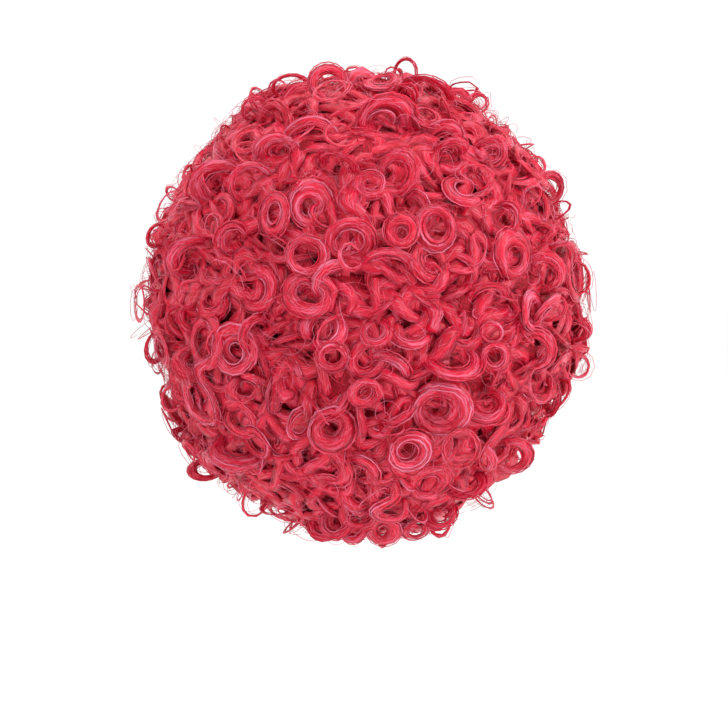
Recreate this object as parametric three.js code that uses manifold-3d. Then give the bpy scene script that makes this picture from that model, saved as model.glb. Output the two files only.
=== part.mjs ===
// Curly costume wig: a net cap, the elastic band in its edge, and eight rows of permed hair sewn round the
// cap. Millimetres. +Z is up, -Y is the side of the wearer's face, and the origin is the middle of the head
// at the hat line.

import * as THREE from "three";
import { ParametricGeometry } from "three/addons/geometries/ParametricGeometry.js";
import { mergeVertices } from "three/addons/utils/BufferGeometryUtils.js";
import Module from "manifold-3d";

const wasm = await Module();
wasm.setup();

// Head that the cap fits
const HEAD_WIDTH = 152; // ear to ear at the hat line
const HEAD_LENGTH = 192; // forehead to the back of the head
const CROWN_HEIGHT = 118; // top of the head above the hat line
const HEAD_UNDER = 112; // vertical half axis of the head's lower half, which rounds in towards the nape
const FOREHEAD_RISE = 38; // cap's front edge above the hat line
const NAPE_DROP = 62; // cap's back edge below the hat line

// Cap and band
const CAP_WALL = 1.6;
const BAND_WIDTH = 14;
const BAND_WALL = 1.4;
const SEWN_GAP = 0.3; // between any two pieces
const FACET_ROOM = 0.5; // more room between the cap and the hair, whose facets cross

// Ball of hair, over the tops of its curls
const HAIR_WIDTH = 342;
const HAIR_DEPTH = 342; // front to back
const HAIR_RISE = 186; // from the middle of the ball to its top
const HAIR_FALL = 196; // from the middle of the ball to where its round would end below
const BALL_BACK = 18; // middle of the ball behind the middle of the head
const BALL_UP = 28; // middle of the ball above the hat line
const CURL_STAND = 11; // how far the curls stand out of the hair packed under them

// Rows of hair, from the crown down, and the curled locks on them
const ROWS = 8;
const CURL_RADIUS = 22; // of the widest curl's middle line, where it starts
const CURL_PITCH = 57; // from curl to curl along a row
const CURL_SPACE = 50; // least from the middle of one curl to the middle of another
const CURL_TURNS = 1.15;
const CURL_RISE = 0.3; // share of a lock in which it comes up out of the packed hair
const CURL_LEAST = 0.86; // smallest curl, as a share of the widest
const CURL_DRIFT = 0.12; // most that a curl is moved along its row, as a share of the pitch
const TIP_TAPER = 0.7; // a lock's tip, as a share of its root
const CURL_LEAN = 6; // most degrees that a curl's axis leans
const LOCK_WIDTH = 10; // along a curl's axis
const LOCK_THICKNESS = 9; // across it

// Cap's edge, from the middle of the face to the middle of the nape. rim is a share of FOREHEAD_RISE where
// it is above the hat line and of NAPE_DROP where it is below. hang is where the hair over that edge ends,
// in degrees from straight up.
const EDGE = [
  { around: 0, rim: 1.0, hang: 80 },
  { around: 28, rim: 0.94, hang: 85 },
  { around: 46, rim: 0.5, hang: 101 },
  { around: 62, rim: -0.22, hang: 124 },
  { around: 74, rim: -0.34, hang: 134 },
  { around: 90, rim: -0.12, hang: 140 },
  { around: 108, rim: -0.3, hang: 145 },
  { around: 130, rim: -0.74, hang: 151 },
  { around: 155, rim: -0.98, hang: 157 },
  { around: 180, rim: -1.0, hang: 158 },
];

// Facets
const AROUND = 24;
const LOCK_SIDES = 4;
const LOCK_STEPS = 8;

const FULL = 2 * Math.PI;
const radians = THREE.MathUtils.degToRad;
const lerp = THREE.MathUtils.lerp;

// One column of EDGE at an angle round the head, in radians, eased between its rows.
function edgeAt(column, around) {
  const turned = Math.abs(Math.atan2(Math.sin(around), Math.cos(around)));
  const degrees = THREE.MathUtils.radToDeg(turned);
  const next = Math.max(1, EDGE.findIndex((row) => row.around >= degrees));
  const [low, high] = [EDGE[next - 1], EDGE[next]];
  const share = (degrees - low.around) / (high.around - low.around);
  return lerp(low[column], high[column], THREE.MathUtils.smoothstep(share, 0, 1));
}

// A repeatable number from 0 to 1 for the curl with this number, a different one for each use.
function chance(curl, use) {
  const wave = Math.sin(curl * 127.1 + use * 311.7) * 43758.5453;
  return wave - Math.floor(wave);
}

// Direction round the vertical, from the face towards +X.
function outward(around) {
  return new THREE.Vector3(Math.sin(around), -Math.cos(around), 0);
}

// The angle above the hat line at which the cap's edge lies.
function rimLift(around) {
  const rim = edgeAt("rim", around);
  return rim > 0
    ? Math.asin((rim * FOREHEAD_RISE) / CROWN_HEIGHT)
    : Math.asin((rim * NAPE_DROP) / HEAD_UNDER);
}

// A point on the head, grown by an offset. down goes from 0 at the crown to 1 at the cap's edge, and its
// last step, as long as one row of hair, is the height of the band.
function headPoint(around, down, offset) {
  const bandTop = rimLift(around) + BAND_WIDTH / CROWN_HEIGHT;
  const overBand = 1 - 1 / ROWS;
  const lift =
    down < overBand
      ? lerp(Math.PI / 2, bandTop, down / overBand)
      : lerp(bandTop, rimLift(around), (down - overBand) * ROWS);
  const flat = outward(around).multiplyScalar(Math.cos(lift));
  const height = lift > 0 ? CROWN_HEIGHT : HEAD_UNDER;
  return new THREE.Vector3(
    flat.x * (HEAD_WIDTH / 2 + offset),
    flat.y * (HEAD_LENGTH / 2 + offset),
    Math.sin(lift) * (height + offset),
  );
}

// A point on the ball of hair, let in by a depth. down is the share of the way from the top to where the
// hair ends.
function ballPoint(around, down, depth) {
  const polar = down * radians(edgeAt("hang", around));
  const flat = outward(around).multiplyScalar(Math.sin(polar));
  const height = polar < Math.PI / 2 ? HAIR_RISE : HAIR_FALL;
  return new THREE.Vector3(
    flat.x * (HAIR_WIDTH / 2 - depth),
    flat.y * (HAIR_DEPTH / 2 - depth) + BALL_BACK,
    Math.cos(polar) * (height - depth) + BALL_UP,
  );
}

// A manifold solid from a closed three.js geometry, facing out and without the empty triangles at its
// poles.
function solidOf(geometry) {
  const bare = geometry.clone();
  bare.deleteAttribute("normal");
  bare.deleteAttribute("uv");
  const merged = mergeVertices(bare, 1e-4);
  const corners = [];
  for (let i = 0; i < merged.index.count; i += 3) {
    const [a, b, c] = merged.index.array.subarray(i, i + 3);
    if (a !== b && b !== c && c !== a) corners.push(a, b, c);
  }
  const facing = (order) => {
    const vertProperties = merged.attributes.position.array;
    return new wasm.Manifold(new wasm.Mesh({ numProp: 3, vertProperties, triVerts: new Uint32Array(order) }));
  };
  const solid = facing(corners);
  return solid.volume() > 0 ? solid : facing(corners.reverse());
}

// A closed solid through rings of points. Each ring is a function of the angle round it, and one at a pole
// gives the same point at every angle. Backwards turns the rings the other way round.
function ringSolid(rings, columns, backwards = false) {
  const place = (u, v, target) => {
    const ring = rings[Math.round(v * (rings.length - 1))];
    target.copy(ring((backwards ? 1 - u : u) * FULL));
  };
  return solidOf(new ParametricGeometry(place, columns, rings.length - 1));
}

// The three.js geometry of a solid's largest body.
function geometryOf(solid) {
  const [largest] = solid.decompose().sort((a, b) => b.volume() - a.volume());
  const made = largest.getMesh();
  const geometry = new THREE.BufferGeometry();
  geometry.setAttribute("position", new THREE.BufferAttribute(made.vertProperties, made.numProp));
  geometry.setIndex(new THREE.BufferAttribute(made.triVerts, 1));
  geometry.computeVertexNormals();
  return geometry;
}

// Net cap: the head's shape down to the edge, CAP_WALL thick, with a ring of facets under each row of hair.
function capSolid(grown) {
  const down = Array.from({ length: ROWS + 1 }, (_, row) => row / ROWS);
  const outside = down.map((share) => (around) => headPoint(around, share, CAP_WALL + grown));
  const inside = down.map((share) => (around) => headPoint(around, share, 0));
  return ringSolid([...outside, ...inside.reverse()], AROUND);
}

// Elastic band: a flat loop inside the cap's edge, under the last row of hair.
function bandSolid() {
  const ring = (down, offset) => (around) => headPoint(around, down, offset);
  const [top, edge] = [1 - 1 / ROWS, 1];
  const [near, far] = [-SEWN_GAP, -SEWN_GAP - BAND_WALL];
  const start = ring(edge, near);
  return ringSolid([start, ring(top, near), ring(top, far), ring(edge, far), start], AROUND);
}

// Hair packed under a row's curls, from the cap to the ball. Every other row runs backwards, so that the
// facets of two rows that meet fold alike.
function packedSolid(row, grown) {
  const middle = (row + 0.5) / ROWS;
  const letIn = SEWN_GAP / 2 - grown;
  const nearer = (point, target) => point.addScaledVector(target.sub(point).normalize(), letIn);
  const root = (down) => (around) => {
    const offset = CAP_WALL + SEWN_GAP + FACET_ROOM - grown;
    return nearer(headPoint(around, down, offset), headPoint(around, middle, offset));
  };
  const top = (down) => (around) => {
    const depth = CURL_STAND - grown;
    return nearer(ballPoint(around, down, depth), ballPoint(around, middle, depth));
  };
  const [high, low] = [row / ROWS, (row + 1) / ROWS];
  const crest = (around) => ballPoint(around, middle, CURL_STAND - grown);
  if (row === 0) {
    const topPole = () => ballPoint(0, 0, CURL_STAND - grown);
    const rootPole = () => headPoint(0, 0, CAP_WALL + SEWN_GAP - grown);
    return ringSolid([topPole, crest, top(low), root(low), rootPole], AROUND);
  }
  return ringSolid([root(high), top(high), crest, top(low), root(low), root(high)], AROUND, row % 2 === 1);
}

// Where the locks come up through the packed hair. Each row has one every CURL_PITCH, and one that would
// crowd a lock before it is left out.
function lockSites() {
  const sites = [];
  for (let row = 0; row < ROWS; row++) {
    const middle = (row + 0.5) / ROWS;
    const polar = middle * radians(EDGE.at(-1).hang);
    const round = (Math.PI / 2) * (HAIR_WIDTH + HAIR_DEPTH) * Math.sin(polar);
    const count = Math.max(3, Math.round(round / CURL_PITCH));
    for (let i = 0; i < count; i++) {
      const curl = sites.length + 1;
      const drift = CURL_DRIFT * (2 * chance(i, row) - 1);
      const around = ((i + (row % 2) / 2 + drift) * FULL) / count;
      const point = ballPoint(around, middle, CURL_STAND);
      const crowded = sites.some((other) => other.point.distanceTo(point) < CURL_SPACE);
      if (!crowded) sites.push({ curl, row, point });
    }
  }
  return sites;
}

// One curled lock, flat across like a ribbon. It comes up out of its row beside the site, then winds in
// above the packed hair round an axis that leans a little away from straight out.
function lockSolid({ curl, point: site }, grown) {
  const out = site.clone().sub(new THREE.Vector3(0, BALL_BACK, BALL_UP)).normalize();
  const side = new THREE.Vector3(0, 0, 1).cross(out).normalize();
  const lean = radians(CURL_LEAN * (2 * chance(curl, 4) - 1));
  const axis = out.clone().applyAxisAngle(side, lean);
  const up = axis.clone().cross(side);
  const outer = CURL_RADIUS * lerp(CURL_LEAST, 1, chance(curl, 5));
  const inner = outer - (LOCK_THICKNESS + SEWN_GAP) * CURL_TURNS;
  const hand = chance(curl, 6) < 0.5 ? -1 : 1;
  const start = chance(curl, 7) < 0.5 ? 0 : Math.PI;
  const [root, crest] = [-LOCK_WIDTH / 2, CURL_STAND - LOCK_WIDTH / 2];

  const lineAt = (share) => {
    const turn = start + hand * share * CURL_TURNS * FULL;
    const spoke = side.clone().multiplyScalar(Math.cos(turn)).addScaledVector(up, Math.sin(turn));
    const point = site.clone().addScaledVector(spoke, lerp(outer, inner, share));
    point.addScaledVector(axis, lerp(root, crest, THREE.MathUtils.smoothstep(share, 0, CURL_RISE)));
    return { spoke, point };
  };
  const ring = (step) => (angle) => {
    const { spoke, point } = lineAt(step / LOCK_STEPS);
    const taper = lerp(1, TIP_TAPER, step / LOCK_STEPS);
    point.addScaledVector(spoke, Math.cos(angle) * ((taper * LOCK_THICKNESS) / 2 + grown));
    return point.addScaledVector(axis, Math.sin(angle) * ((taper * LOCK_WIDTH) / 2 + grown));
  };
  const rings = Array.from({ length: LOCK_STEPS + 1 }, (_, step) => ring(step));
  return ringSolid([() => lineAt(0).point, ...rings, () => lineAt(1).point], LOCK_SIDES);
}

// The same solid, with its cuts and joins worked out now and not again at each use.
function settled(solid) {
  return wasm.Manifold.ofMesh(solid.getMesh());
}

// Rows of hair from the crown down: packed hair with its locks fused in. Locks keep clear of the packed
// hair of the rows beside theirs and of the locks of the rows above.
function rowSolids() {
  const sites = lockSites();
  const capGrown = capSolid(SEWN_GAP);
  const locks = (row, grown) => {
    const own = sites.filter((site) => site.row === row);
    return settled(wasm.Manifold.union(own.map((site) => lockSolid(site, grown))));
  };
  return Array.from({ length: ROWS }, (_, row) => {
    let curls = locks(row, 0);
    let packed = packedSolid(row, 0);
    if (row > 0) {
      const above = locks(row - 1, SEWN_GAP);
      curls = curls.subtract(above).subtract(packedSolid(row - 1, SEWN_GAP));
      packed = packed.subtract(above);
    }
    if (row < ROWS - 1) curls = curls.subtract(packedSolid(row + 1, SEWN_GAP));
    return settled(packed.subtract(capGrown).add(curls));
  });
}

// Finishes, none of them metal
function finish(name, color, roughness) {
  return new THREE.MeshStandardMaterial({ name, color, roughness, metalness: 0 });
}

const CAP_NET = finish("cap_net", 0xb02a48, 0.9);
const ELASTIC = finish("elastic", 0xa02440, 0.85);
const HAIR = finish("hair", 0xd0304f, 0.45);

function piece(name, solid, material) {
  const mesh = new THREE.Mesh(geometryOf(solid), material);
  mesh.name = name;
  return mesh;
}

const wig = new THREE.Group();
wig.name = "wig";
wig.add(piece("cap", capSolid(0), CAP_NET));
wig.add(piece("rim_band", bandSolid(), ELASTIC));
rowSolids().forEach((solid, row) => wig.add(piece(`weft_row_${row + 1}`, solid, HAIR)));

export default wig;
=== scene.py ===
"""Curly clown wig: permed hair in rows round a net cap, with an elastic band in the cap's edge.

Everything is in metres. +Z is up, -Y is the side of the wearer's face, and the origin is the middle of the
head at the hat line.
"""

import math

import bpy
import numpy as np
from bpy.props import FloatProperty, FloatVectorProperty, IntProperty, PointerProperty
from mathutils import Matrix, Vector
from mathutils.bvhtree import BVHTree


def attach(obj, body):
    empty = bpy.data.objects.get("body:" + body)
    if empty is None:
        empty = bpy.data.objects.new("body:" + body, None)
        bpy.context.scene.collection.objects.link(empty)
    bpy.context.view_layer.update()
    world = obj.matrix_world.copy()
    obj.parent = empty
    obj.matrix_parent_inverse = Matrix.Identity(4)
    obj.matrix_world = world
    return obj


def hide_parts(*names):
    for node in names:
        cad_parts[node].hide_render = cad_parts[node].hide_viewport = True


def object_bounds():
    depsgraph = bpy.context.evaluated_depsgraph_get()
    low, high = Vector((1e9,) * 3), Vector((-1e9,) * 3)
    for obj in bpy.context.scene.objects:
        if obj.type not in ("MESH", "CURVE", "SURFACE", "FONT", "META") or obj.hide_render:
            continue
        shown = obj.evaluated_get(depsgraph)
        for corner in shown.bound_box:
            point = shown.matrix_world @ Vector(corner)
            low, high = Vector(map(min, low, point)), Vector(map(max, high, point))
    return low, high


bl_info = {
    "name": "Curly Clown Wig",
    "version": (1, 0, 0),
    "blender": (4, 5, 0),
    "location": "View3D > Sidebar > Wig",
    "description": "Makes the hair, cap and band of a curly wig round its packed solids",
    "category": "Object",
}

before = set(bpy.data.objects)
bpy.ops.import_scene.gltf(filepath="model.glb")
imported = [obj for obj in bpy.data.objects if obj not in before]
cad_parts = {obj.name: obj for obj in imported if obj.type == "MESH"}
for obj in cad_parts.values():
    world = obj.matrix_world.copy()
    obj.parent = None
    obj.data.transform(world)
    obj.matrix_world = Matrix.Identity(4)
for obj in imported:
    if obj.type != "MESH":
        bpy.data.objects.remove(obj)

CAD_BOX = [list(corner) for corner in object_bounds()]
HAIR_ROWS = sorted(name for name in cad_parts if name.startswith("weft_row_"))
MM = 0.001
FULL = 2 * math.pi

# Ball of hair over the tops of its curls. Its middle lies behind and above the middle of the head.
BALL_MIDDLE = np.array([0.0, 18.0, 28.0]) * MM
BALL_HALF_WIDTH = (CAD_BOX[1][0] - CAD_BOX[0][0]) / 2
BALL_HALF_DEPTH = 171 * MM
BALL_RISE = CAD_BOX[1][2] - BALL_MIDDLE[2]
BALL_FALL = 196 * MM

# How far under that ball most curls end, so that only loose ones reach it
CURL_TOPS = 4 * MM

# How far over and under that ball a row of packed hair is looked for
ROW_REACH = 30 * MM

# Shares of the way out in the ball: where the roots end and the outer hair begins, and where the walls of
# hair round the face and over the neck end
ROOT_SHARE = 0.78
WALL_SHARE = 0.9

# Places tried for each flyaway hair, because some lie over the face and the neck
TRIES = 1.3

# Head that the cap fits, as half axes
HEAD_HALF = np.array([76.0, 96.0, 118.0]) * MM

# Where the wig is looked at from: behind, a little above
CAMERA_AIM = Vector((0.0, 0.0, -0.021))
CAMERA_DISTANCE = 2.2
CAMERA_ELEVATION = 3.0
FRAME_WIDTH = 0.558  # what the picture takes in at the head's middle
CAMERA_PLACE = CAMERA_AIM + CAMERA_DISTANCE * Vector(
    (0, math.cos(math.radians(CAMERA_ELEVATION)), math.sin(math.radians(CAMERA_ELEVATION)))
)

# Curls that stand out at the back of the wig, read from it. across and up are millimetres from the
# middle of the head, to the right and up as seen from behind, in the plane through that middle. radius is
# that of the curl's middle line in millimetres, flat its short side over its long one and lean the angle of
# its long side. turns is how far the lock winds, gap where its two ends come in, and band the lock's width.
# All angles are degrees, anticlockwise from the right.
CURLS = [
    # across, up, radius, flat, lean, turns, gap, band
    (-92, 121, 17, 0.95, 40, 1.15, -60, 5),
    (-43, 103, 16, 0.95, 90, 1.70, 110, 11),
    (-71, 95, 14, 0.65, 80, 1.30, -30, 9),
    (-11, 75, 16, 0.95, 0, 1.40, 20, 9),
    (-45, 63, 14, 0.95, 30, 1.25, 60, 6),
    (-106, 77, 12, 0.90, 30, 1.60, 200, 7),
    (-20, 138, 14, 0.60, -30, 1.40, 160, 8),
    (-121, 123, 19, 0.90, 0, 1.80, 250, 12),
    (-70, 149, 13, 0.85, 0, 1.80, 30, 10),
    (-60, 199, 14, 0.70, 10, 1.10, -90, 3),
    (-28, 200, 13, 0.90, 0, 0.72, -90, 7),
    (-88, 180, 10, 0.90, 60, 1.15, -60, 3),
    (-165, 79, 9, 0.80, 70, 1.10, 0, 3),
    (-142, 63, 17, 0.80, 20, 1.70, 0, 10),
    (33, 210, 11, 0.75, 80, 0.85, -90, 2),
    (50, 196, 21, 0.60, -15, 0.60, -90, 5),
    (18, 174, 20, 0.90, 30, 1.80, 200, 12),
    (102, 145, 12, 0.95, 0, 1.20, 230, 5),
    (69, 148, 11, 0.65, 20, 1.40, 180, 7),
    (26, 128, 15, 0.90, 60, 0.78, -60, 8),
    (80, 114, 14, 0.60, -20, 0.70, 80, 9),
    (56, 85, 14, 0.95, 90, 1.35, 80, 8),
    (29, 81, 11, 0.90, 0, 1.80, 90, 8),
    (115, 93, 12, 0.80, 90, 1.30, 0, 6),
    (143, 80, 14, 0.70, 0, 0.62, -90, 8),
    (148, 117, 12, 0.80, 70, 1.30, 180, 5),
    (18, 54, 20, 0.70, 10, 0.70, 240, 10),
    (156, 62, 11, 0.70, 80, 0.70, 200, 5),
    (143, 48, 16, 0.90, 30, 0.75, -60, 8),
    (-34, 4, 16, 0.90, 20, 0.72, -80, 13),
    (-25, -16, 11, 0.85, 0, 1.30, 200, 7),
    (-167, -9, 13, 0.65, 80, 1.10, 0, 2),
    (-153, -49, 11, 0.75, 70, 1.20, 20, 3),
    (-143, -80, 10, 0.45, -30, 1.60, 180, 4),
    (-140, -21, 13, 0.90, 0, 1.70, 0, 9),
    (-87, 2, 13, 0.80, 60, 1.30, 140, 7),
    (-95, -42, 15, 0.65, 0, 0.72, 90, 10),
    (-61, -37, 14, 0.45, 80, 0.55, 0, 11),
    (-104, -94, 20, 0.65, 5, 1.80, 180, 12),
    (-26, -73, 15, 0.95, 0, 1.60, 120, 9),
    (-51, -70, 11, 0.80, 60, 0.75, 60, 5),
    (-70, -139, 15, 0.40, 5, 1.15, 90, 3),
    (-22, -150, 12, 0.90, 60, 1.60, 100, 9),
    (9, 3, 10, 0.95, 0, 0.80, 30, 5),
    (43, 8, 20, 0.80, 20, 0.72, 20, 12),
    (72, -20, 19, 0.70, -10, 0.70, 95, 10),
    (101, 2, 8, 0.95, 0, 1.20, 180, 3),
    (137, -11, 15, 0.90, 0, 1.40, 200, 9),
    (102, -16, 10, 0.90, 60, 1.30, 60, 6),
    (60, -58, 21, 0.85, 10, 1.70, 60, 11),
    (100, -55, 15, 0.90, 0, 1.80, 90, 10),
    (151, -53, 10, 0.50, 70, 1.50, 200, 4),
    (170, 4, 10, 0.80, 0, 0.65, -100, 5),
    (100, 32, 15, 0.55, 15, 1.15, 180, 8),
    (1, -44, 11, 0.85, 0, 1.50, 0, 8),
    (35, -88, 15, 0.80, 20, 1.50, 200, 9),
    (22, -137, 12, 0.55, 0, 0.65, 90, 8),
    (41, -152, 9, 0.60, 10, 0.80, 90, 4),
    (-127, -107, 11, 0.70, 0, 0.70, 90, 6),
    (118, -96, 14, 0.80, 20, 0.75, 120, 8),
    (84, -120, 14, 0.70, 10, 1.40, 90, 8),
    (-32, -153, 11, 0.80, 20, 1.40, 60, 8),
    (-8, -154, 10, 0.85, 70, 1.20, 150, 7),
    (16, -153, 11, 0.75, 0, 1.50, 100, 9),
    (62, -144, 11, 0.80, 30, 1.30, 40, 7),
]

# Where the ball's outline, seen from behind, lies inside a true ball, or outside it where depth is negative
DENTS = [
    # across, up, depth, spread, all in millimetres
    (112, -100, 19, 62),
    (158, 66, 9, 36),
    (-168, -20, 13, 36),
    (-118, 142, 7, 46),
    (112, 148, 7, 40),
    (150, 110, 5, 30),
    (-130, -98, 4, 40),
    (135, -98, 12, 40),
    (173, -16, -10, 34),
    (15, 205, 12, 75),
    (-72, -141, 17, 48),
    (-150, 90, 3, 50),
]


def linear(code):
    """The linear RGBA of an sRGB hex colour."""
    parts = [int(code[i : i + 2], 16) / 255 for i in (1, 3, 5)]
    return (*[c / 12.92 if c <= 0.04045 else ((c + 0.055) / 1.055) ** 2.4 for c in parts], 1.0)


def colour(name, code, description):
    """A colour, set by its sRGB hex code."""
    return FloatVectorProperty(
        name=name, description=description, subtype="COLOR", size=4, min=0, max=1, default=linear(code)
    )


def length(name, millimetres, description):
    """A length, set in millimetres."""
    return FloatProperty(name=name, description=description, default=millimetres * MM, min=0, unit="LENGTH")


def power(name, watts, description):
    """The power of a light, set in watts."""
    return FloatProperty(name=name, description=description, default=watts, min=0, unit="POWER")


def number(name, default, description):
    """A whole number."""
    return IntProperty(name=name, description=description, default=default, min=0)


class WigHair(bpy.types.PropertyGroup):
    """Sizes and colours of the curled hair."""

    seed: number("Seed", 11, "Start of the random numbers")
    small_curl: length("Smallest curl", 11, "Least radius of a curl's middle line")
    large_curl: length("Largest curl", 20, "Greatest radius of a curl's middle line")
    narrow_lock: length("Narrowest lock", 8, "Least width of a lock")
    wide_lock: length("Widest lock", 15, "Greatest width of a lock")
    root_depth: length("Root depth", 22, "How deep a lock starts under its curl")
    second_layer: length("Second layer", 12, "How far the inner curls lie under the outer ones")
    sites: number("Sites", 4200, "Places tried for a curl")
    cover: number("Cover", 1850, "Locks that cover the packed hair")
    strands: number("Strands", 5, "Strands on an outer lock")
    loose: number("Loose hairs", 1, "Single hairs that leave each lock")
    fine: length("Fine hair", 0.45, "Width of a single hair, coarser than the real fibre so that it shows")
    middling: length("Middling strand", 0.8, "Least width of a strand, a clump of fibres")
    coarse: length("Coarse strand", 2.0, "Greatest width of a strand")
    flyaways: number("Flyaways", 700, "Hairs that stand out of the ball")
    frizz: number("Frizz", 1500, "Hairs that lie over the curls")
    wisps: number("Wisps", 240, "Thin curls that stand out of the ball")
    # Deep paints shade near the roots and deep in the ball, and is also the darkest tone of the strands.
    deep: colour("Deep", "#cc0e2c", "Shaded hair near the roots")
    body: colour("Body", "#de0b36", "Most of the hair")
    # Light is partly the palest strands' own tone and partly a painted highlight.
    light: colour("Light", "#ee7c9c", "The palest strands")
    # Packed hair is darkened as painted shade for lying under the curls.
    packed: colour("Packed", "#8e0a1c", "Hair packed under the curls")
    # Painted shade in the hollows between the hairs.
    hollow_shade: colour("Hollow", "#8a0c1f", "The hollows in packed hair")


class WigCap(bpy.types.PropertyGroup):
    """Sizes and colours of the cap and its band."""

    mesh_pitch: length("Net pitch", 2.6, "Distance between the holes of the net")
    rib_pitch: length("Rib pitch", 1.6, "Distance between the ribs of the elastic")
    net: colour("Net", "#9c1c34", "Yarn of the cap")
    elastic: colour("Elastic", "#b22540", "Covered rubber of the band")


class WigStage(bpy.types.PropertyGroup):
    """The floor, the lights and the camera."""

    floor_drop: length("Floor drop", 500, "Floor under the hat line")
    paper: colour("Paper", "#fdfdfd", "Floor and backdrop")
    sky: FloatProperty(name="Sky", description="Strength of the white surroundings", default=1.02, min=0)
    key: power("Key light", 28, "Power of the main light")
    fill: power("Fill light", 2, "Power of the side light")
    top: power("Top light", 12, "Power of the light above")


# Materials


def add_node(tree, kind, settings=None, links=None):
    """One node of a kind, with its settings and with its inputs, by name or number, set or linked."""
    node = tree.nodes.new(kind)
    for name, value in (settings or {}).items():
        setattr(node, name, value)
    for name, value in (links or {}).items():
        socket = node.inputs[name]
        if isinstance(value, bpy.types.NodeSocket):
            tree.links.new(value, socket)
        else:
            socket.default_value = value
    return node


def new_material(name, **shader):
    """A material with a Principled shader whose sockets are set, its node tree and the shader."""
    material = bpy.data.materials.new(name)
    material.use_nodes = True
    tree = material.node_tree
    principled = tree.nodes["Principled BSDF"]
    for socket, value in shader.items():
        principled.inputs[socket.replace("_", " ")].default_value = value
    return material, tree, principled


def ramp(tree, factor, stops):
    """A colour ramp through (place, colour) stops."""
    node = add_node(tree, "ShaderNodeValToRGB", links={"Fac": factor})
    elements = node.color_ramp.elements
    while len(elements) < len(stops):
        elements.new(0.5)
    for element, (place, shade) in zip(elements, stops):
        element.position = place
        element.color = shade
    return node.outputs["Color"]


def drawn_noise(tree, place, size, slant=0, detail=2.0):
    """Noise with grains of a real size along each axis, turned by an angle in degrees."""
    drawn = add_node(
        tree,
        "ShaderNodeMapping",
        {"vector_type": "TEXTURE"},
        {"Vector": place, "Rotation": (0, 0, math.radians(slant)), "Scale": size},
    ).outputs["Vector"]
    return add_node(
        tree,
        "ShaderNodeTexNoise",
        links={"Vector": drawn, "Scale": 1.0, "Detail": detail, "Roughness": 0.6},
    ).outputs["Fac"]


def streaks(tree, long, wide, slant, detail=2.0):
    """Noise drawn out along the strands of the hair: long and wide are its real sizes, slant its angle."""
    uv = add_node(tree, "ShaderNodeUVMap", {"uv_map": "strand"}).outputs["UV"]
    return drawn_noise(tree, uv, (long, wide, 1), slant, detail)


def between(tree, value, low, high, bottom=0.0, top=1.0):
    """A value mapped smoothly from between low and high to between bottom and top."""
    return add_node(
        tree,
        "ShaderNodeMapRange",
        {"interpolation_type": "SMOOTHSTEP"},
        {"Value": value, "From Min": low, "From Max": high, "To Min": bottom, "To Max": top},
    ).outputs["Result"]


def mixed(tree, factor, first, second):
    """A blend of two colours."""
    inputs = {0: factor, 6: first, 7: second}
    return add_node(tree, "ShaderNodeMix", {"data_type": "RGBA"}, inputs).outputs[2]


def surface(tree, shader, tone, height, strength, distance, invert=False):
    """Gives a shader its colour, and a bump from a height that is distance metres deep."""
    inputs = {"Strength": strength, "Distance": distance, "Height": height}
    bump = add_node(tree, "ShaderNodeBump", {"invert": invert}, inputs)
    tree.links.new(tone, shader.inputs["Base Color"])
    tree.links.new(bump.outputs["Normal"], shader.inputs["Normal"])


def fibre_material(hair):
    """Permed synthetic fibre, drawn from modacrylic: a satin gloss along the strand, pale hairs that are
    partly a painted highlight side by side with dark lines of painted shade, a few pale hairs that cross
    them, and painted shade towards the roots, a deeper, more saturated red."""
    material, tree, shader = new_material(
        "permed_fibre",
        Roughness=0.38,
        Specular_IOR_Level=0.35,
        Anisotropic=0.8,
        Anisotropic_Rotation=0.25,
        Sheen_Weight=0.04,
        Sheen_Roughness=0.4,
        Sheen_Tint=linear("#ff9fb4"),
    )
    shade = add_node(tree, "ShaderNodeAttribute", {"attribute_name": "shade"}).outputs["Fac"]
    depth = add_node(tree, "ShaderNodeAttribute", {"attribute_name": "depth"}).outputs["Fac"]
    # Hairs drawn about 1 mm wide, ten times as coarse as the real fibre, so that they show
    clump = streaks(tree, 0.03, 0.003, 0)
    hairs = streaks(tree, 0.018, 0.0009, 3, detail=3.0)
    leaning = streaks(tree, 0.016, 0.0006, -14, detail=0.0)
    crossing = streaks(tree, 0.012, 0.0005, 24, detail=0.0)
    # Paleness that changes along the strand: partly random tone, partly painted highlight.
    clumped_tone_and_highlight = between(tree, clump, 0.3, 0.7, -0.35, 0.35)
    pale = add_node(tree, "ShaderNodeMath", {"operation": "ADD"}, {0: shade, 1: clumped_tone_and_highlight}).outputs[0]
    tone = ramp(tree, pale, [(0.05, hair.deep), (0.3, hair.body), (0.65, hair.body), (1.0, hair.light)])
    # Painted shade: dark lines between the hairs.
    tone = mixed(tree, between(tree, hairs, 0.38, 0.48, 0.65, 0.0), tone, hair.hollow_shade)
    # Pale hairs, straight, leaning and crossing, in the light colour: partly random tone, partly painted
    # highlight.
    tone = mixed(tree, between(tree, hairs, 0.56, 0.66, 0.0, 0.45), tone, hair.light)
    tone = mixed(tree, between(tree, leaning, 0.62, 0.7, 0.0, 0.45), tone, hair.light)
    tone = mixed(tree, between(tree, crossing, 0.63, 0.71, 0.0, 0.45), tone, hair.light)
    # Painted shade: hair near the roots and deep in the ball turns to the deep colour.
    tone = mixed(tree, depth, hair.deep, tone)
    surface(tree, shader, tone, hairs, 0.8, 0.0006)
    along = add_node(tree, "ShaderNodeTangent", {"direction_type": "UV_MAP", "uv_map": "strand"})
    tree.links.new(along.outputs["Tangent"], shader.inputs["Tangent"])
    return material


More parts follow.
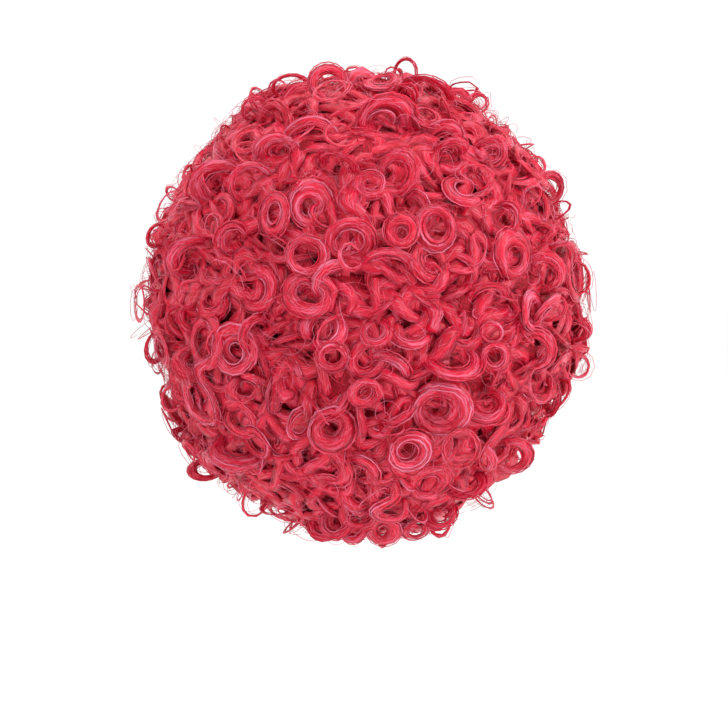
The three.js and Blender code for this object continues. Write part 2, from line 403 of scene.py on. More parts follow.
def shaded_packed_material(hair):
    """Fibre packed under the curls: matte, deep red as painted shade for lying under the curls, in small
    tufts of fine hairs that lie every way, with painted shade between them.
    """
    material, tree, shader = new_material("packed_fibre_in_shade", Roughness=0.5, Specular_IOR_Level=0.2)
    place = add_node(tree, "ShaderNodeTexCoord").outputs["Object"]
    warp = add_node(tree, "ShaderNodeTexNoise", links={"Vector": place, "Scale": 70.0, "Detail": 2.0})
    bent = add_node(
        tree,
        "ShaderNodeVectorMath",
        {"operation": "MULTIPLY_ADD"},
        {0: warp.outputs["Color"], 1: (0.012, 0.012, 0.012), 2: place},
    ).outputs["Vector"]
    # Tufts about 15 mm across, each of hairs about 0.9 mm apart that run for about 14 mm
    tuft = add_node(tree, "ShaderNodeTexVoronoi", {"feature": "F1"}, {"Vector": bent, "Scale": 65.0})
    turn = add_node(
        tree,
        "ShaderNodeVectorMath",
        {"operation": "SCALE"},
        {0: tuft.outputs["Color"], "Scale": FULL},
    ).outputs["Vector"]
    laid = add_node(
        tree,
        "ShaderNodeVectorRotate",
        {"rotation_type": "EULER_XYZ"},
        {"Vector": bent, "Center": tuft.outputs["Position"], "Rotation": turn},
    ).outputs["Vector"]
    hairs = drawn_noise(tree, laid, (0.014, 0.0009, 0.0009))
    # The packed colour is painted shade for lying under the curls; body-coloured hairs run over it.
    tone = mixed(tree, between(tree, hairs, 0.5, 0.62, 0.0, 0.8), hair.packed, hair.body)
    # Painted shade: dark lines between the packed hairs.
    tone = mixed(tree, between(tree, hairs, 0.38, 0.48, 0.9, 0.0), tone, hair.hollow_shade)
    surface(tree, shader, tone, hairs, 0.9, 0.0008)
    return material


def net_material(cap):
    """Knitted nylon net: matte yarn round small holes, with a soft fuzz."""
    material, tree, shader = new_material(
        "knitted_net", Roughness=0.85, Sheen_Weight=0.3, Sheen_Roughness=0.5
    )
    place = add_node(tree, "ShaderNodeTexCoord").outputs["Object"]
    cells = add_node(
        tree,
        "ShaderNodeTexVoronoi",
        {"feature": "DISTANCE_TO_EDGE"},
        {"Vector": place, "Scale": 1 / cap.mesh_pitch, "Randomness": 0.8},
    ).outputs["Distance"]
    # Yarn in the net colour round holes in near-black red: painted shade seen through the holes.
    tone = ramp(tree, cells, [(0.0, cap.net), (0.22, cap.net), (0.3, linear("#3c0712"))])
    surface(tree, shader, tone, cells, 0.7, 0.0006, invert=True)
    return material


def elastic_material(cap):
    """Woven elastic tape: covered rubber cords side by side, which gives even ribs across a matte band."""
    material, tree, shader = new_material(
        "woven_elastic", Roughness=0.75, Sheen_Weight=0.2, Sheen_Roughness=0.5
    )
    place = add_node(tree, "ShaderNodeTexCoord").outputs["Object"]
    ribs = add_node(
        tree,
        "ShaderNodeTexWave",
        {"bands_direction": "Z"},
        {"Vector": place, "Scale": FULL / 20 / cap.rib_pitch, "Distortion": 0.4, "Detail": 1.0},
    ).outputs["Fac"]
    # Dark in the grooves and pale on the crests of the ribs: painted shade and painted highlight.
    tone = ramp(tree, ribs, [(0.0, linear("#5c0f20")), (0.5, cap.elastic), (1.0, linear("#c8405a"))])
    surface(tree, shader, tone, ribs, 0.7, 0.0005)
    return material


# The ball of hair


def unit(vectors):
    """Vectors of length one, along the last axis."""
    size = np.linalg.norm(vectors, axis=-1, keepdims=True)
    return vectors / np.maximum(size, 1e-12)


def half_axes(rise):
    """The ball's half axes over its middle where rise is true, and under it where it is not."""
    return np.array([BALL_HALF_WIDTH, BALL_HALF_DEPTH, BALL_RISE if rise else BALL_FALL])


def ball_share(points):
    """How far out in the ball points lie, from 0 at its middle to 1 on it."""
    from_middle = points - BALL_MIDDLE
    half = np.where(from_middle[..., 2:] > 0, half_axes(True), half_axes(False))
    return np.linalg.norm(from_middle / half, axis=-1)


def dent(place):
    """How far under the true ball the tops of the curls lie near a place."""
    inward = CURL_TOPS
    for across, up, depth, spread in DENTS:
        off = place - np.array([-across * MM, BALL_MIDDLE[1], up * MM])
        inward += depth * MM * math.exp(-(off @ off) / (spread * MM) ** 2)
    return inward


def ball_point(direction):
    """The point of the ball of curl tops that lies in a direction from its middle, in its dents too."""
    place = BALL_MIDDLE + direction * half_axes(direction[2] > 0)
    return place - direction * dent(place)


def ball_normal(point):
    """The direction straight out of the ball at a point."""
    from_middle = point - BALL_MIDDLE
    return unit(from_middle / half_axes(from_middle[2] > 0) ** 2)


def seen_point(across, up):
    """Where a line from the camera through a place in the head's middle plane meets the ball, or comes
    nearest to it, and how much nearer to the camera that is."""
    eye = np.array(CAMERA_PLACE)
    target = np.array([-across, 0.0, up])
    half = half_axes(up > BALL_MIDDLE[2])
    start, step = (eye - BALL_MIDDLE) / half, (target - eye) / half
    a, b, c = step @ step, start @ step, start @ start - 1
    inside = max(b * b - a * c, 0.0)
    share = (-b - math.sqrt(inside)) / a
    return eye + share * (target - eye), share


class Packed:
    """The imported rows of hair, to find which row lies under a place and where its bare walls are."""

    def __init__(self):
        corners, faces, self.row_of, start = [], [], [], 0
        for row, name in enumerate(HAIR_ROWS):
            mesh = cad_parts[name].data
            corners += [v.co.copy() for v in mesh.vertices]
            faces += [[start + i for i in p.vertices] for p in mesh.polygons]
            self.row_of += [row] * len(mesh.polygons)
            start += len(mesh.vertices)
        self.corners = np.array(corners)
        self.faces = np.array([face[:3] for face in faces])
        self.tree = BVHTree.FromPolygons(corners, faces)

    def under(self, point, normal):
        """The row that lies under a point of the ball, or None over the face and the neck."""
        start = Vector(point + normal * ROW_REACH)
        hit = self.tree.ray_cast(start, -Vector(normal), 2 * ROW_REACH)
        return None if hit[2] is None else self.row_of[hit[2]]

    def nearest(self, point):
        """The row that lies nearest to a point."""
        return self.row_of[self.tree.find_nearest(Vector(point))[2]]

    def wall_places(self, rng, count, clear):
        """Random places on the walls of hair round the face and over the neck, which nothing faces within
        a clear distance and which lie well inside the ball."""
        a, b, c = (self.corners[self.faces[:, i]] for i in range(3))
        crossed = np.cross(b - a, c - a)
        area = np.linalg.norm(crossed, axis=1) / 2
        chosen = rng.choice(len(area), size=count, p=area / area.sum())
        u, v = rng.random(count), rng.random(count)
        turned = u + v > 1
        u[turned], v[turned] = 1 - u[turned], 1 - v[turned]
        places = a[chosen] + u[:, None] * (b - a)[chosen] + v[:, None] * (c - a)[chosen]
        normals = unit(crossed[chosen])
        for face, place, normal in zip(chosen, places, normals):
            over_head = np.linalg.norm(place / HEAD_HALF)
            if ball_share(place) > WALL_SHARE or over_head < 1.12:
                continue
            start = Vector(place + normal * MM)
            if self.tree.ray_cast(start, Vector(normal), clear)[2] is None:
                yield place, normal, self.row_of[face]


# Locks of hair


def across_to(axis, way):
    """The part of a direction that is square to an axis, and the third direction."""
    first = unit(way - (way @ axis) * axis)
    return first, np.cross(axis, first)


def tipped(axis, about, angle):
    """An axis turned about a direction that is square to it."""
    return axis * math.cos(angle) + np.cross(about, axis) * math.sin(angle)


class Strands:
    """Closed tubes of one piece, gathered as arrays and made into one mesh at the end."""

    def __init__(self):
        self.corners, self.quads, self.ends = [], [], []
        self.quad_uvs, self.end_uvs, self.shades, self.depths = [], [], [], []
        self.count = 0

    def add(self, line, flat_way, half_width, half_height, sides, shade, depth, rng):
        """Tubes along lines, an array of tubes, points and coordinates. The widths, heights, shades and
        depths have a number for each tube and point, and flat_way is the way of the wider side."""
        along = unit(np.gradient(line, axis=1))
        side = unit(flat_way - (flat_way * along).sum(-1, keepdims=True) * along)
        up = np.cross(along, side)
        turn = np.arange(sides) * FULL / sides
        rings = (
            line[:, :, None]
            + side[:, :, None] * (np.cos(turn) * half_width[..., None])[..., None]
            + up[:, :, None] * (np.sin(turn) * half_height[..., None])[..., None]
        )[:, 1:-1]
        tubes, steps = rings.shape[:2]
        per_tube = 2 + steps * sides
        base = self.count + np.arange(tubes)[:, None, None] * per_tube
        ring = 2 + np.arange(steps - 1)[None, :, None] * sides
        at = np.arange(sides)[None, None, :]
        after = (at + 1) % sides
        near = base + ring
        corners = [near + at, near + after, near + sides + after, near + sides + at]
        self.quads.append(np.stack(corners, axis=-1).reshape(-1, 4))
        base, at, after = base[:, 0], at[0], after[0]
        final = 2 + (steps - 1) * sides
        self.ends += [
            np.stack([base + 0 * at, base + 2 + after, base + 2 + at], axis=-1).reshape(-1, 3),
            np.stack([base + final + at, base + final + after, base + 1 + 0 * at], axis=-1).reshape(-1, 3),
        ]
        body = rings.reshape(tubes, steps * sides, 3)
        self.corners.append(np.concatenate([line[:, :1], line[:, -1:], body], axis=1).reshape(-1, 3))

        wide = (half_width.mean(axis=1) + half_height.mean(axis=1)) * math.pi / sides
        run = np.linalg.norm(np.diff(line[:, 1:-1], axis=1), axis=-1).cumsum(axis=1)
        run = np.concatenate([np.zeros((tubes, 1)), run], axis=1) + rng.random((tubes, 1))
        low = rng.random(tubes)[:, None] + np.arange(sides) * wide[:, None]
        span = (tubes, steps - 1, sides)
        low, high = (np.broadcast_to(v[:, None, :], span) for v in (low, low + wide[:, None]))
        start, end = (np.broadcast_to(u[:, :, None], low.shape) for u in (run[:, :-1], run[:, 1:]))
        places = [(start, low), (start, high), (end, high), (end, low)]
        self.quad_uvs.append(np.stack([np.stack(p, axis=-1) for p in places], axis=-2).reshape(-1, 2))
        self.end_uvs.append(np.zeros((tubes * sides * 6, 2)) + run[0, 0])
        for values, kept in ((shade, self.shades), (depth, self.depths)):
            on_ring = np.repeat(values[:, 1:-1, None], sides, axis=2).reshape(tubes, steps * sides)
            kept.append(np.concatenate([values[:, :1], values[:, -1:], on_ring], axis=1).ravel())
        self.count += tubes * per_tube

    def make(self, name, material):
        """The mesh object of all that was added."""
        quads, ends = np.concatenate(self.quads), np.concatenate(self.ends)
        mesh = bpy.data.meshes.new(name)
        mesh.from_pydata(np.concatenate(self.corners), [], quads.tolist() + ends.tolist())
        layer = mesh.uv_layers.new(name="strand")
        layer.data.foreach_set("uv", np.concatenate(self.quad_uvs + self.end_uvs).astype(np.float32).ravel())
        for label, values in (("shade", self.shades), ("depth", self.depths)):
            attribute = mesh.attributes.new(label, "FLOAT", "POINT")
            attribute.data.foreach_set("value", np.concatenate(values).astype(np.float32))
        mesh.polygons.foreach_set("use_smooth", np.ones(len(mesh.polygons), bool))
        mesh.materials.append(material)
        made = bpy.data.objects.new(name, mesh)
        bpy.context.scene.collection.objects.link(made)
        return made


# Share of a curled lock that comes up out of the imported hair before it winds
IN_ROOT = 0.22


def shares(lock):
    """Shares of a lock's length for its points, few in the root and even where it winds."""
    if lock["length"]:
        return np.linspace(0, 1, 7 + int(4 * lock["turns"]))[None, :]
    root, wound = np.linspace(0, IN_ROOT, 4)[:-1], np.linspace(IN_ROOT, 1, 5 + int(10 * lock["turns"]))
    return np.concatenate([root, wound])[None, :]


def course(lock, share, shift, scale, out_by, up_by):
    """Lines along a lock at shares of its length, and the way of its flat side there. shift moves a line on
    round the curl, scale widens it, and out_by and up_by are how far it lies off the lock's middle."""
    (first, second), axis = lock["across"], lock["axis"]
    if lock["length"]:
        sway = lock["radius"] * scale * np.sin(lock["start"] + FULL * lock["turns"] * (share + shift * 0.1))
        end_ward = np.abs(2 * share - 1)
        line = (
            lock["middle"]
            + ((share - 0.5) * lock["length"])[..., None] * first
            + (sway + out_by)[..., None] * second
            + (up_by + 0 * share)[..., None] * axis
            - (lock["root"] * end_ward**2.2)[..., None] * lock["normal"]
        )
        return line, np.broadcast_to(second, line.shape)
    risen = np.clip(share / IN_ROOT, 0, 1)
    wound = np.clip((share - IN_ROOT) / (1 - IN_ROOT), 0, 1)
    angle = lock["start"] + shift + lock["hand"] * (FULL * lock["turns"] * wound - 2.4 * (1 - risen))
    radius = lock["radius"] * scale * (1 + (lock["close"] - 1) * wound**1.2 - 0.25 * (1 - risen))
    radius = radius * (1 + lock["uneven"] * np.sin(angle * 2 + lock["start"] * 3))
    sunk = lock["root"] * (1 - risen) ** 2 + lock["sink"] * np.clip((wound - 0.7) / 0.3, 0, 1) ** 2
    spoke = np.cos(angle)[..., None] * first + np.sin(angle)[..., None] * second
    line = (
        lock["middle"]
        + (radius + out_by)[..., None] * spoke
        + (up_by + lock["rise"] * (wound - 0.5))[..., None] * axis
        - sunk[..., None] * lock["normal"]
    )
    return line, spoke


def reach_out(line, lock):
    """How far out each point of a lock lies, from 0 for the roots to 1 for the tops; the fibre is painted in
    shade where this is low.
    """
    return np.clip((ball_share(line) - ROOT_SHARE) / 0.17, lock["depth"], 1.0)


def add_lock(strands, lock, hair, rng):
    """One curled lock: a flat core, strands laid over its outer side, and loose hairs that have left it."""
    share = shares(lock)
    half_band, half_thick = lock["band"] / 2, lock["band"] * lock.get("thick", 0.22)
    swell = 0.8 + 0.2 * np.cos(FULL * lock["turns"] * share + rng.random() * FULL)
    taper = swell * np.sin(np.pi * np.clip(0.12 + 0.8 * share, 0, 1)) ** 0.6
    line, flat_way = course(lock, share, 0, 1, 0, 0)
    # The core is a step darker than its strands: painted shade under them.
    shade = np.full_like(share, lock["shade"] - 0.1)
    strands.add(line, flat_way, taper * half_band, taper * half_thick, 4, shade, reach_out(line, lock), rng)
    if not lock["strands"]:
        return

    count = lock["strands"]
    start, end = rng.uniform(0, 0.08, (count, 1)), rng.uniform(0.88, 1.0, (count, 1))
    share = start + (end - start) * share
    round_core = np.linspace(-0.58, 0.58, count)[:, None] * np.pi
    section = lock["facing"] + round_core + rng.normal(0, 0.25, (count, 1))
    wander = np.sin(share * FULL * rng.uniform(0.5, 1.6, (count, 1)) + rng.random((count, 1)) * FULL)
    stray = 1.2 * MM * (0.4 + share**2)
    line, flat_way = course(
        lock,
        share,
        rng.normal(0, 0.08, (count, 1)),
        rng.normal(1, 0.06, (count, 1)),
        half_band * taper * np.cos(section) + stray * wander,
        half_thick * taper * np.sin(section) + stray * np.roll(wander, 1, axis=0),
    )
    width = rng.uniform(hair.middling, hair.coarse, (count, 1)) * (0.4 + 0.6 * taper) / 2
    shade = np.clip(lock["shade"] + rng.normal(0, 0.22, (count, 1)), 0, 1) + 0 * share
    strands.add(line, flat_way, width, width * 0.5, 3, shade, reach_out(line, lock), rng)

    count = lock["loose"]
    if not count:
        return
    share = np.linspace(0.15, rng.uniform(0.8, 1), 12)[None, :] + np.zeros((count, 1))
    lifted = rng.uniform(0, 4, (count, 1)) + 2 * np.sin(share * rng.uniform(3, 8, (count, 1)))
    line, flat_way = course(
        lock, share, rng.normal(0, 0.7, (count, 1)), rng.uniform(0.6, 1.35, (count, 1)), 0, lifted * MM
    )
    width = np.full_like(share, hair.fine / 2)
    shade = rng.uniform(0.5, 1, (count, 1)) + 0 * share
    strands.add(line, flat_way, width, width, 3, shade, reach_out(line, lock), rng)


def seen_lock(place, hair, rng):
    """A lock from a line of CURLS, which faces the camera as that curl does."""
    across, up, radius, flat, lean, turns, gap, band = place
    point, nearer = seen_point(across * MM, up * MM)
    to_camera = unit(np.array(CAMERA_PLACE) - point)
    right, above = across_to(to_camera, np.array([-1.0, 0.0, 0.0]))
    long_side = math.cos(math.radians(lean)) * right + math.sin(math.radians(lean)) * above
    tip = math.acos(flat) * (1 if rng.random() < 0.5 else -1)
    axis = tipped(to_camera, long_side, tip)
    normal = ball_normal(point)
    first, second = across_to(axis, right)
    inward = 2 * MM + radius * MM * nearer * 0.6 * math.sqrt(max(0.0, 1 - (axis @ normal) ** 2))
    hand = 1 if rng.random() < 0.5 else -1
    open_by = math.pi * max(0.0, 1 - turns)
    return {
        "middle": point - normal * inward,
        "normal": normal,
        "axis": axis,
        "across": (first, second),
        "radius": radius * MM * nearer,
        "close": rng.uniform(0.4, 0.6) if turns >= 1.5 else 0.85,
        "turns": turns,
        "uneven": rng.uniform(0.0, 0.08),
        "rise": rng.uniform(-3, 1) * MM * turns,
        "start": math.radians(gap) + hand * open_by,
        "hand": hand,
        "band": band * 1.3 * MM,
        "length": 0,
        "root": hair.root_depth * (0.4 if band < 4 else 1.0),
        "sink": (18 if turns < 1 else 5) * MM,
        "shade": 0.65 if band > 9 else 0.5,
        "depth": 0.25,
        "facing": math.pi / 2,
        "strands": 3 if band < 4 else hair.strands + 1,
        "loose": hair.loose,
    }


def chance_lock(point, normal, size, under, hair, rng, upright=0.35):
    """A lock of a random kind at a place on the ball, or under it. upright is the share that stands."""
    standing = rng.random() < upright
    tilt = math.radians(rng.uniform(50, 95) if standing else abs(rng.normal(0, 28)))
    way, _ = across_to(normal, rng.normal(size=3))
    axis = tipped(normal, way, tilt)
    turns = rng.choice([0.62, 0.8, 1.25, 1.5, 1.8], p=[0.24, 0.22, 0.22, 0.16, 0.16])
    radius = rng.uniform(*size)
    stand = radius * 0.85 * math.sin(tilt) + rng.uniform(0, 9) * MM
    return {
        "middle": point - normal * (stand + under),
        "normal": normal,
        "axis": axis,
        "across": across_to(axis, rng.normal(size=3)),
        "radius": radius,
        "close": rng.uniform(0.35, 0.6) if turns >= 1.5 else rng.uniform(0.65, 0.95),
        "turns": turns,
        "uneven": rng.uniform(0.0, 0.16),
        "rise": rng.uniform(-5, 2) * MM * turns,
        "start": rng.random() * FULL,
        "hand": 1 if rng.random() < 0.5 else -1,
        "band": rng.uniform(hair.narrow_lock, hair.wide_lock) * min(1.0, radius / size[1] + 0.3),
        "length": 0,
        "root": hair.root_depth,
        "sink": (18 if turns < 1 else 5 + 10 * math.sin(tilt)) * MM,
        "shade": rng.uniform(0.25, 0.7),
        "depth": 0.25,
        "facing": 0 if standing else math.pi / 2,
        "strands": hair.strands if under == 0 else 2,
        "loose": hair.loose if under == 0 else 0,
    }


def wavy_lock(point, normal, under, hair, rng):
    """A lock that lies along the ball in a shallow wave, with both ends sunk among the curls."""
    first, second = across_to(normal, rng.normal(size=3))
    return {
        "middle": point - normal * under,
        "normal": normal,
        "axis": normal,
        "across": (first, second),
        "radius": rng.uniform(5, 10) * MM,
        "turns": rng.uniform(0.5, 1.2),
        "start": rng.random() * FULL,
        "band": rng.uniform(hair.narrow_lock, hair.wide_lock),
        "length": rng.uniform(32, 52) * MM,
        "root": rng.uniform(14, 22) * MM,
        "shade": rng.uniform(0.2, 0.65),
        "depth": 0.25,
        "facing": math.pi / 2,
        "strands": 1,
        "loose": 0,
    }


def cover_lock(point, normal, under, hair, rng):
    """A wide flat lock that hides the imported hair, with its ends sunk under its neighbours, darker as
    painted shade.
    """
    lock = wavy_lock(point, normal, under, hair, rng)
    lock["band"] = rng.uniform(0.85, 1.15) * hair.wide_lock
    lock["thick"] = 0.14
    lock["root"] = rng.uniform(5, 10) * MM
    # Darker tones than the curls over them: painted shade for lying under them.
    lock["shade"] = rng.uniform(0.1, 0.55)
    return lock


def spiral_directions(count, rng):
    """Directions spread evenly over a sphere, in random order."""
    step = np.arange(count) + 0.5
    height = 1 - 2 * step / count
    turn = step * math.pi * (3 - math.sqrt(5))
    flat = np.sqrt(1 - height**2)
    spread = np.stack([flat * np.cos(turn), flat * np.sin(turn), height], axis=1)
    return spread[rng.permutation(count)]


def ball_places(packed, count, rng, jitter=0.0):
    """Places spread over the ball where a row lies under it, as (point, way out, row)."""
    for direction in spiral_directions(count, rng):
        if jitter:
            direction = unit(direction + rng.normal(0, jitter, 3))
        point = ball_point(direction)
        normal = ball_normal(point)
        row = packed.under(point, normal)
        if row is not None:
            yield point, normal, row


def spaced(point, radius, others, share):
    """Whether a curl keeps a share of both radii from each of the others."""
    return all(np.linalg.norm(point - spot) > share * (radius + size) for spot, size in others)


def wall_locks(packed, hair, rng):
    """Short curls on the walls of hair round the face and over the neck, and flat locks under them."""
    size = (hair.small_curl * 0.8, hair.small_curl * 1.3)
    locks, curls, flat = [], [], []
    for place, normal, row in packed.wall_places(rng, 9000, 40 * MM):
        lock = chance_lock(place + normal * 8 * MM, normal, size, 0, hair, rng)
        lock["root"] = 10 * MM
        lock["strands"], lock["loose"] = 1, 0
        cover = cover_lock(place + normal * 3 * MM, normal, 0, hair, rng)
        lock["depth"] = cover["depth"] = 0.8
        middle, radius = lock["middle"], lock["radius"]
        if ball_share(middle) < WALL_SHARE and spaced(middle, radius, curls, 0.95):
            curls.append((middle, radius))
            locks.append((row, lock))
        ends = place + np.array([[-0.5], [0.5]]) * cover["length"] * cover["across"][0]
        if ball_share(ends).max() < 0.93 and spaced(place, 6 * MM, flat, 1.0):
            flat.append((place, 6 * MM))
            locks.append((row, cover))
    return locks


def plan_locks(hair, rng):
    """All locks of the wig, as (row, lock): those read from the real one, others spaced between them, inner
    ones and wavy ones in the gaps, those on the walls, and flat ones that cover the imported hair."""
    packed = Packed()
    locks, outer, inner, wavy = [], [], [], []
    for place in CURLS:
        lock = seen_lock(place, hair, rng)
        outer.append((lock["middle"], lock["radius"] + 5 * MM))
        wavy.append((lock["middle"], lock["radius"] * 0.6))
        locks.append((packed.nearest(lock["middle"]), lock))
    size = (hair.small_curl, hair.large_curl)
    for point, normal, row in ball_places(packed, hair.sites, rng):
        choices = (
            (chance_lock(point, normal, size, 0, hair, rng), outer, 0.66),
            (chance_lock(point, normal, size, hair.second_layer, hair, rng), inner, 0.9),
            (wavy_lock(point, normal, rng.uniform(2, 10) * MM, hair, rng), wavy, 1.6),
        )
        for lock, placed, share in choices:
            if spaced(lock["middle"], lock["radius"], placed, share):
                placed.append((lock["middle"], lock["radius"]))
                locks.append((row, lock))
                break
    locks += wall_locks(packed, hair, rng)
    for point, normal, row in ball_places(packed, hair.cover, rng):
        locks.append((row, cover_lock(point, normal, rng.uniform(6, 11) * MM, hair, rng)))
    return locks


def standing_hair(point, normal, side, other, share, rng):
    """The line of a hair that stands out of the ball in a thin loop."""
    radius = rng.uniform(3, 13) * MM
    angle = rng.uniform(-0.5, 0.5) - math.pi / 2 + FULL * rng.uniform(0.35, 1.1) * share
    up = np.sin(angle) * radius * rng.uniform(0.4, 1.0)
    height = up - up.max() + rng.triangular(-4, 0, 11) * MM
    line = point + side * (np.cos(angle) * radius)[:, None] + normal * height[:, None]
    return line + other * (rng.normal(0, 6 * MM) * share)[:, None]


def lying_hair(point, normal, side, other, share, rng):
    """The line of a hair that lies over the curls in a bend and follows the ball."""
    heading = rng.random() * FULL + rng.choice([-1, 1]) * rng.uniform(2, 5) * share
    step = rng.uniform(25, 45) * MM / len(share)
    run, sway = np.cumsum(np.cos(heading)) * step, np.cumsum(np.sin(heading)) * step
    line = point + side * run[:, None] + other * sway[:, None]
    height = rng.uniform(-12, 3) * MM + rng.uniform(-4, 4) * MM * np.sin(share * rng.uniform(3, 9))
    fall = -np.sum((line - point) ** 2, axis=1) / (2 * BALL_HALF_WIDTH)
    return line + normal * (height + fall)[:, None]


def add_flyaways(strands, shape, count, points, packed, hair, rng):
    """Single hairs of one shape, spread over the ball, each with a number of points."""
    share = np.linspace(0, 1, points)
    lines, ways = [], []
    for point, normal, _ in ball_places(packed, int(count * TRIES), rng, jitter=0.05):
        side, other = across_to(normal, rng.normal(size=3))
        lines.append(shape(point, normal, side, other, share, rng))
        ways.append(np.broadcast_to(other, (points, 3)))
    lines = np.array(lines)
    width = hair.fine / 2 * rng.uniform(0.5, 1.0, (len(lines), 1)) + np.zeros(lines.shape[:2])
    shade = rng.uniform(0.3, 1.0, (len(lines), 1)) + 0 * width
    strands.add(lines, np.array(ways), width, width, 3, shade, 1 + 0 * width, rng)


def add_wisps(strands, packed, hair, rng):
    """Thin curls, most of them upright, that come out between the others."""
    for point, normal, _ in ball_places(packed, hair.wisps, rng):
        lock = chance_lock(point, normal, (8 * MM, 15 * MM), rng.uniform(-14, -5) * MM, hair, rng, 0.8)
        lock["band"] = rng.uniform(1.2, 3.5) * MM
        lock["strands"], lock["loose"] = 1, 1
        add_lock(strands, lock, hair, rng)


# Pieces


def only(obj):
    """Selects one object and makes it active."""
    bpy.ops.object.select_all(action="DESELECT")
    obj.select_set(True)
    bpy.context.view_layer.objects.active = obj


def fused_copy(node, name):
    """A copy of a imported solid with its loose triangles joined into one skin."""
    copy = bpy.data.objects.new(name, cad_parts[node].data.copy())
    bpy.context.scene.collection.objects.link(copy)
    copy.data.materials.clear()
    only(copy)
    bpy.ops.object.mode_set(mode="EDIT")
    bpy.ops.mesh.select_all(action="SELECT")
    bpy.ops.mesh.remove_doubles(threshold=0.01 * MM)
    bpy.ops.object.mode_set(mode="OBJECT")
    return copy


def apply_modifier(obj, kind, **settings):
    """Applies one modifier of a kind to an object."""
    only(obj)
    modifier = obj.modifiers.new(kind.lower(), kind)
    for name, value in settings.items():
        setattr(modifier, name, value)
    bpy.ops.object.modifier_apply(modifier=modifier.name)


def dent_backing(obj):
    """Moves the outer side of packed hair in with the ball's dents, and groups its outer vertices."""
    outer = obj.vertex_groups.new(name="outer")
    for vertex in obj.data.vertices:
        place = np.array(vertex.co)
        weight = min(max((ball_share(place) - ROOT_SHARE) / 0.1, 0.0), 1.0)
        vertex.co = place - unit(place - BALL_MIDDLE) * dent(place) * weight
        outer.add([vertex.index], weight, "REPLACE")


def packed_hair(node, material, lumps):
    """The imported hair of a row, rounded off, dented as the ball is and lumpy on its outer side."""
    base = fused_copy(node, "packed")
    apply_modifier(base, "REMESH", mode="VOXEL", voxel_size=8 * MM)
    apply_modifier(base, "SMOOTH", factor=0.5, iterations=8)
    dent_backing(base)
    apply_modifier(base, "DISPLACE", texture=lumps, strength=6 * MM, mid_level=0.9, vertex_group="outer")
    bpy.ops.object.shade_smooth()
    base.data.materials.append(material)
    return base


def stands_for(piece, node):
    """Puts a finished piece in its node's place."""
    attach(piece, "root")
    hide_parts(node)


class WIG_OT_cap(bpy.types.Operator):
    """Net cap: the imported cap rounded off, in knitted net"""

    bl_idname = "wig.cap"
    bl_label = "Net cap"

    def execute(self, context):
        piece = fused_copy("cap", "cap_net")
        apply_modifier(piece, "SUBSURF", levels=1, render_levels=1)
        bpy.ops.object.shade_smooth()
        piece.data.materials.append(net_material(context.scene.wig_cap))
        stands_for(piece, "cap")
        return {"FINISHED"}


class WIG_OT_band(bpy.types.Operator):
    """Elastic band in the cap's edge, in ribbed woven elastic"""

    bl_idname = "wig.band"
    bl_label = "Elastic band"

    def execute(self, context):
        piece = fused_copy("rim_band", "elastic_band")
        apply_modifier(piece, "SUBSURF", levels=2, render_levels=2)
        bpy.ops.object.shade_smooth()
        piece.data.materials.append(elastic_material(context.scene.wig_cap))
        stands_for(piece, "rim_band")
        return {"FINISHED"}


class WIG_OT_hair(bpy.types.Operator):
    """Rows of hair: packed hair with its curled locks on it, one piece for each row"""

    bl_idname = "wig.hair"
    bl_label = "Rows of hair"

    def execute(self, context):
        hair = context.scene.wig_hair
        rng = np.random.default_rng(hair.seed)
        fibre, under = fibre_material(hair), shaded_packed_material(hair)
        lumps = bpy.data.textures.new("lumps", "CLOUDS")
        lumps.noise_scale = 14 * MM
        locks = plan_locks(hair, rng)
        for row, node in enumerate(HAIR_ROWS):
            strands = Strands()
            for at, lock in locks:
                if at == row:
                    add_lock(strands, lock, hair, rng)
            piece = strands.make(node.replace("weft", "hair"), fibre)
            base = packed_hair(node, under, lumps)
            only(piece)
            base.select_set(True)
            bpy.ops.object.join()
            stands_for(piece, node)
        return {"FINISHED"}


class WIG_OT_flyaways(bpy.types.Operator):
    """Loose hairs: some stand out of the ball in thin loops, others lie over the curls"""

    bl_idname = "wig.flyaways"
    bl_label = "Flyaway hair"

    def execute(self, context):
        hair = context.scene.wig_hair
        rng = np.random.default_rng(hair.seed + 1)
        packed, strands = Packed(), Strands()
        add_flyaways(strands, standing_hair, hair.flyaways, 14, packed, hair, rng)
        add_flyaways(strands, lying_hair, hair.frizz, 10, packed, hair, rng)
        add_wisps(strands, packed, hair, rng)
        piece = strands.make("flyaway_hair", bpy.data.materials["permed_fibre"])
        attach(piece, "root")
        return {"FINISHED"}


def area_light(name, place, aim, size, power):
    """A soft square light at a place, turned to an aim."""
    bpy.ops.object.light_add(type="AREA", location=place)
    light = bpy.context.object
    light.name = name
    light.data.size = size
    light.data.energy = power
    light.rotation_euler = (Vector(aim) - Vector(place)).to_track_quat("-Z", "Y").to_euler()


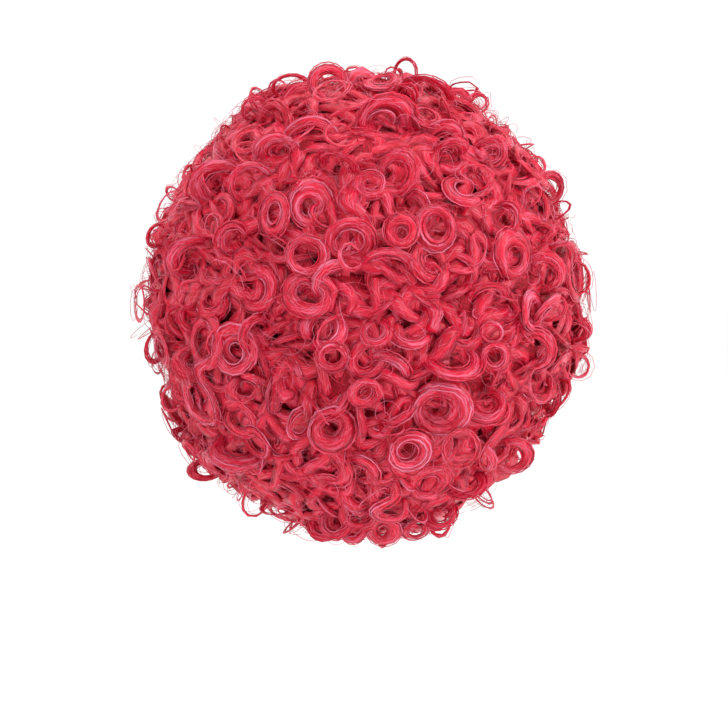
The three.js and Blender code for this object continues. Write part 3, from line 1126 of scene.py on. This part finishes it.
class WIG_OT_stage(bpy.types.Operator):
    """White floor and white surroundings, soft lights and the camera behind the wig"""

    bl_idname = "wig.stage"
    bl_label = "Stage"

    def execute(self, context):
        stage = context.scene.wig_stage
        bpy.ops.object.select_all(action="DESELECT")
        bpy.ops.mesh.primitive_plane_add(size=30, location=(0, 0, -stage.floor_drop))
        floor = bpy.context.object
        floor.name = "floor"
        material, _, _ = new_material("paper", Base_Color=stage.paper, Roughness=0.9)
        floor.data.materials.append(material)

        world = bpy.data.worlds.new("white_studio")
        world.use_nodes = True
        background = world.node_tree.nodes["Background"]
        background.inputs["Color"].default_value = (1, 1, 1, 1)
        background.inputs["Strength"].default_value = stage.sky
        context.scene.world = world

        area_light("key_light", (-2.4, 1.1, 1.0), (0, 0, 0.02), 1.0, stage.key)
        area_light("fill_light", (1.5, 1.6, 0.3), (0, 0, 0), 1.4, stage.fill)
        area_light("top_light", (0.1, 0.2, 1.7), (0, 0, 0.1), 1.0, stage.top)

        bpy.ops.object.camera_add(location=CAMERA_PLACE)
        camera = bpy.context.object
        camera.rotation_euler = (CAMERA_AIM - CAMERA_PLACE).to_track_quat("-Z", "Y").to_euler()
        camera.data.sensor_width = 36
        camera.data.lens = 36 * CAMERA_DISTANCE / FRAME_WIDTH
        context.scene.camera = camera
        context.scene.view_settings.view_transform = "Standard"
        return {"FINISHED"}


class WIG_PT_panel(bpy.types.Panel):
    """Lists what makes the wig, in the 3D view's sidebar"""

    bl_label = "Wig"
    bl_idname = "WIG_PT_panel"
    bl_space_type = "VIEW_3D"
    bl_region_type = "UI"
    bl_category = "Wig"

    def draw(self, context):
        for operator in OPERATORS:
            self.layout.operator(operator.bl_idname)
        for group in (context.scene.wig_hair, context.scene.wig_cap, context.scene.wig_stage):
            for name in group.bl_rna.properties.keys():
                if name not in ("rna_type", "name"):
                    self.layout.prop(group, name)


OPERATORS = (WIG_OT_stage, WIG_OT_cap, WIG_OT_band, WIG_OT_hair, WIG_OT_flyaways)
GROUPS = {"wig_hair": WigHair, "wig_cap": WigCap, "wig_stage": WigStage}


def register():
    for group in (*GROUPS.values(), *OPERATORS, WIG_PT_panel):
        bpy.utils.register_class(group)
    for name, group in GROUPS.items():
        setattr(bpy.types.Scene, name, PointerProperty(type=group))


def unregister():
    for name in GROUPS:
        delattr(bpy.types.Scene, name)
    for group in (WIG_PT_panel, *OPERATORS, *GROUPS.values()):
        bpy.utils.unregister_class(group)


def main():
    register()
    bpy.ops.wig.stage()
    bpy.ops.wig.cap()
    bpy.ops.wig.band()
    bpy.ops.wig.hair()
    bpy.ops.wig.flyaways()


if __name__ == "__main__":
    main()
